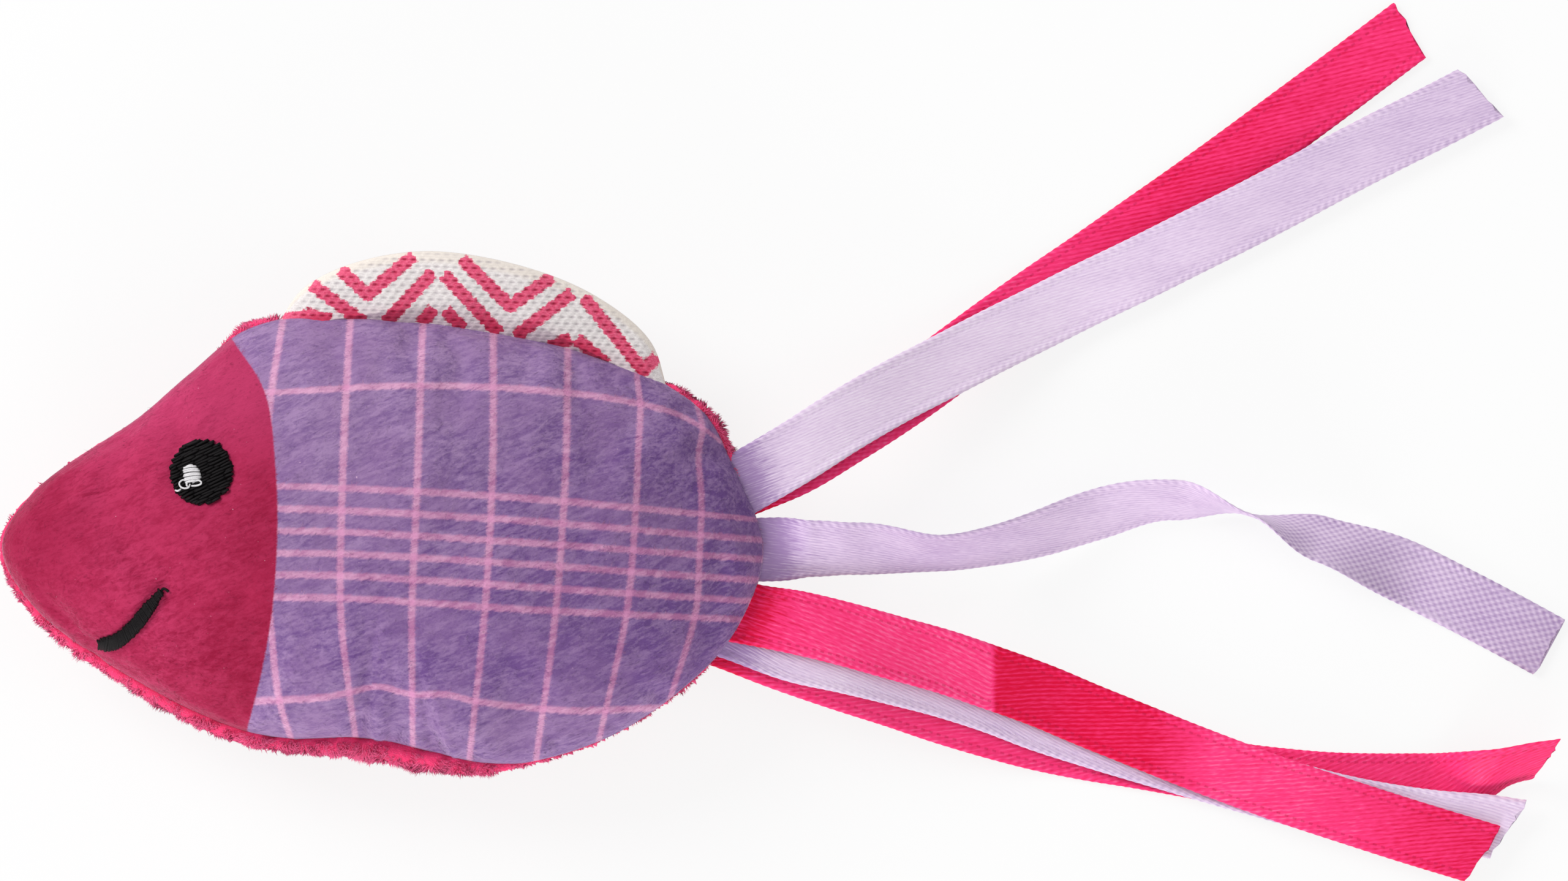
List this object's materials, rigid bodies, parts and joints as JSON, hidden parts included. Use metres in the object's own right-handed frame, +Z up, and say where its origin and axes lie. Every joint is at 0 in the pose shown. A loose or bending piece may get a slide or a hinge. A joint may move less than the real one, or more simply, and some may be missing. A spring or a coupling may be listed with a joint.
{
  "type": "catnip fish cat toy",
  "caption": "Stuffed cloth fish for a cat, holding catnip, with a padded canvas fin that bends, an embroidered face and a tail of loose satin ribbons.",
  "frame": {"origin": "centre of the flat patch of the plush back that the toy rests on", "axes": "+X from the nose to the tail, +Y to the side of the fin, +Z up out of the printed front"},
  "size_m": [0.1597, 0.0898, 0.0208],
  "materials": {
    "printed_velour": "short-pile velour printed with a crimson head and a plaid body",
    "pink_plush": "longer pile plush",
    "white_fibre": "loose polyester fibre",
    "dried_herb": "loose dried leaf",
    "canvas": "plain weave cotton printed with a chevron stripe",
    "pink_satin": "satin weave with a woven edge",
    "lilac_satin": "satin weave with a woven edge",
    "black_embroidery": "glossy embroidery thread",
    "white_embroidery": "glossy embroidery thread",
    "sewing_thread": "spun polyester thread",
    "white_backing": "non-woven sheet"
  },
  "bodies": {
    "fish": {"front_panel": "printed_velour", "back_panel": "pink_plush", "fibre_filling": "white_fibre", "catnip_filling": "dried_herb", "eye_patch": "black_embroidery", "eye_highlight": "white_embroidery", "mouth_stitch": "black_embroidery", "embroidery_backing": "white_backing", "body_seam_thread": "sewing_thread", "closing_thread": "sewing_thread"},
    "fin": {"fin_front_cloth": "canvas", "fin_back_cloth": "canvas", "fin_wadding": "white_fibre", "fin_seam_thread": "sewing_thread"},
    "upper_pink": {"ribbon_upper_pink": "pink_satin"},
    "upper_lilac": {"ribbon_upper_lilac": "lilac_satin"},
    "middle_lilac": {"ribbon_middle_lilac": "lilac_satin"},
    "lower_pink_back": {"ribbon_lower_pink_back": "pink_satin"},
    "lower_lilac": {"ribbon_lower_lilac": "lilac_satin"},
    "lower_pink_front": {"ribbon_lower_pink_front": "pink_satin"}
  },
  "joints": [
    {"name": "fin_bend", "type": "hinge", "parent": "fish", "child": "fin", "pos_m": [0.0114, 0.02253, 0.00965], "axis": [0.9853, -0.1706, 0], "range_deg": [-40, 40], "stiffness_Nm_per_rad": 0.002},
    {"name": "upper_pink_lift", "type": "hinge", "parent": "fish", "child": "upper_pink", "pos_m": [0.0376, 0, 0.0106], "axis": [0, -1, 0], "range_deg": [0, 75]},
    {"name": "upper_lilac_lift", "type": "hinge", "parent": "fish", "child": "upper_lilac", "pos_m": [0.0376, 0, 0.0106], "axis": [0, -1, 0], "range_deg": [0, 81]},
    {"name": "middle_lilac_lift", "type": "hinge", "parent": "fish", "child": "middle_lilac", "pos_m": [0.0376, 0, 0.0106], "axis": [0, -1, 0], "range_deg": [0, 75]},
    {"name": "lower_pink_back_lift", "type": "hinge", "parent": "fish", "child": "lower_pink_back", "pos_m": [0.0376, 0, 0.0106], "axis": [0, -1, 0], "range_deg": [0, 75]},
    {"name": "lower_lilac_lift", "type": "hinge", "parent": "fish", "child": "lower_lilac", "pos_m": [0.0376, 0, 0.0106], "axis": [0, -1, 0], "range_deg": [0, 81]},
    {"name": "lower_pink_front_lift", "type": "hinge", "parent": "fish", "child": "lower_pink_front", "pos_m": [0.0376, 0, 0.0106], "axis": [0, -1, 0], "range_deg": [0, 87]}
  ],
  "couplings": [
    {"joint": "upper_lilac_lift", "follows": "upper_pink_lift", "ratio": 1.08},
    {"joint": "lower_lilac_lift", "follows": "lower_pink_back_lift", "ratio": 1.08},
    {"joint": "lower_pink_front_lift", "follows": "lower_pink_back_lift", "ratio": 1.16}
  ]
}
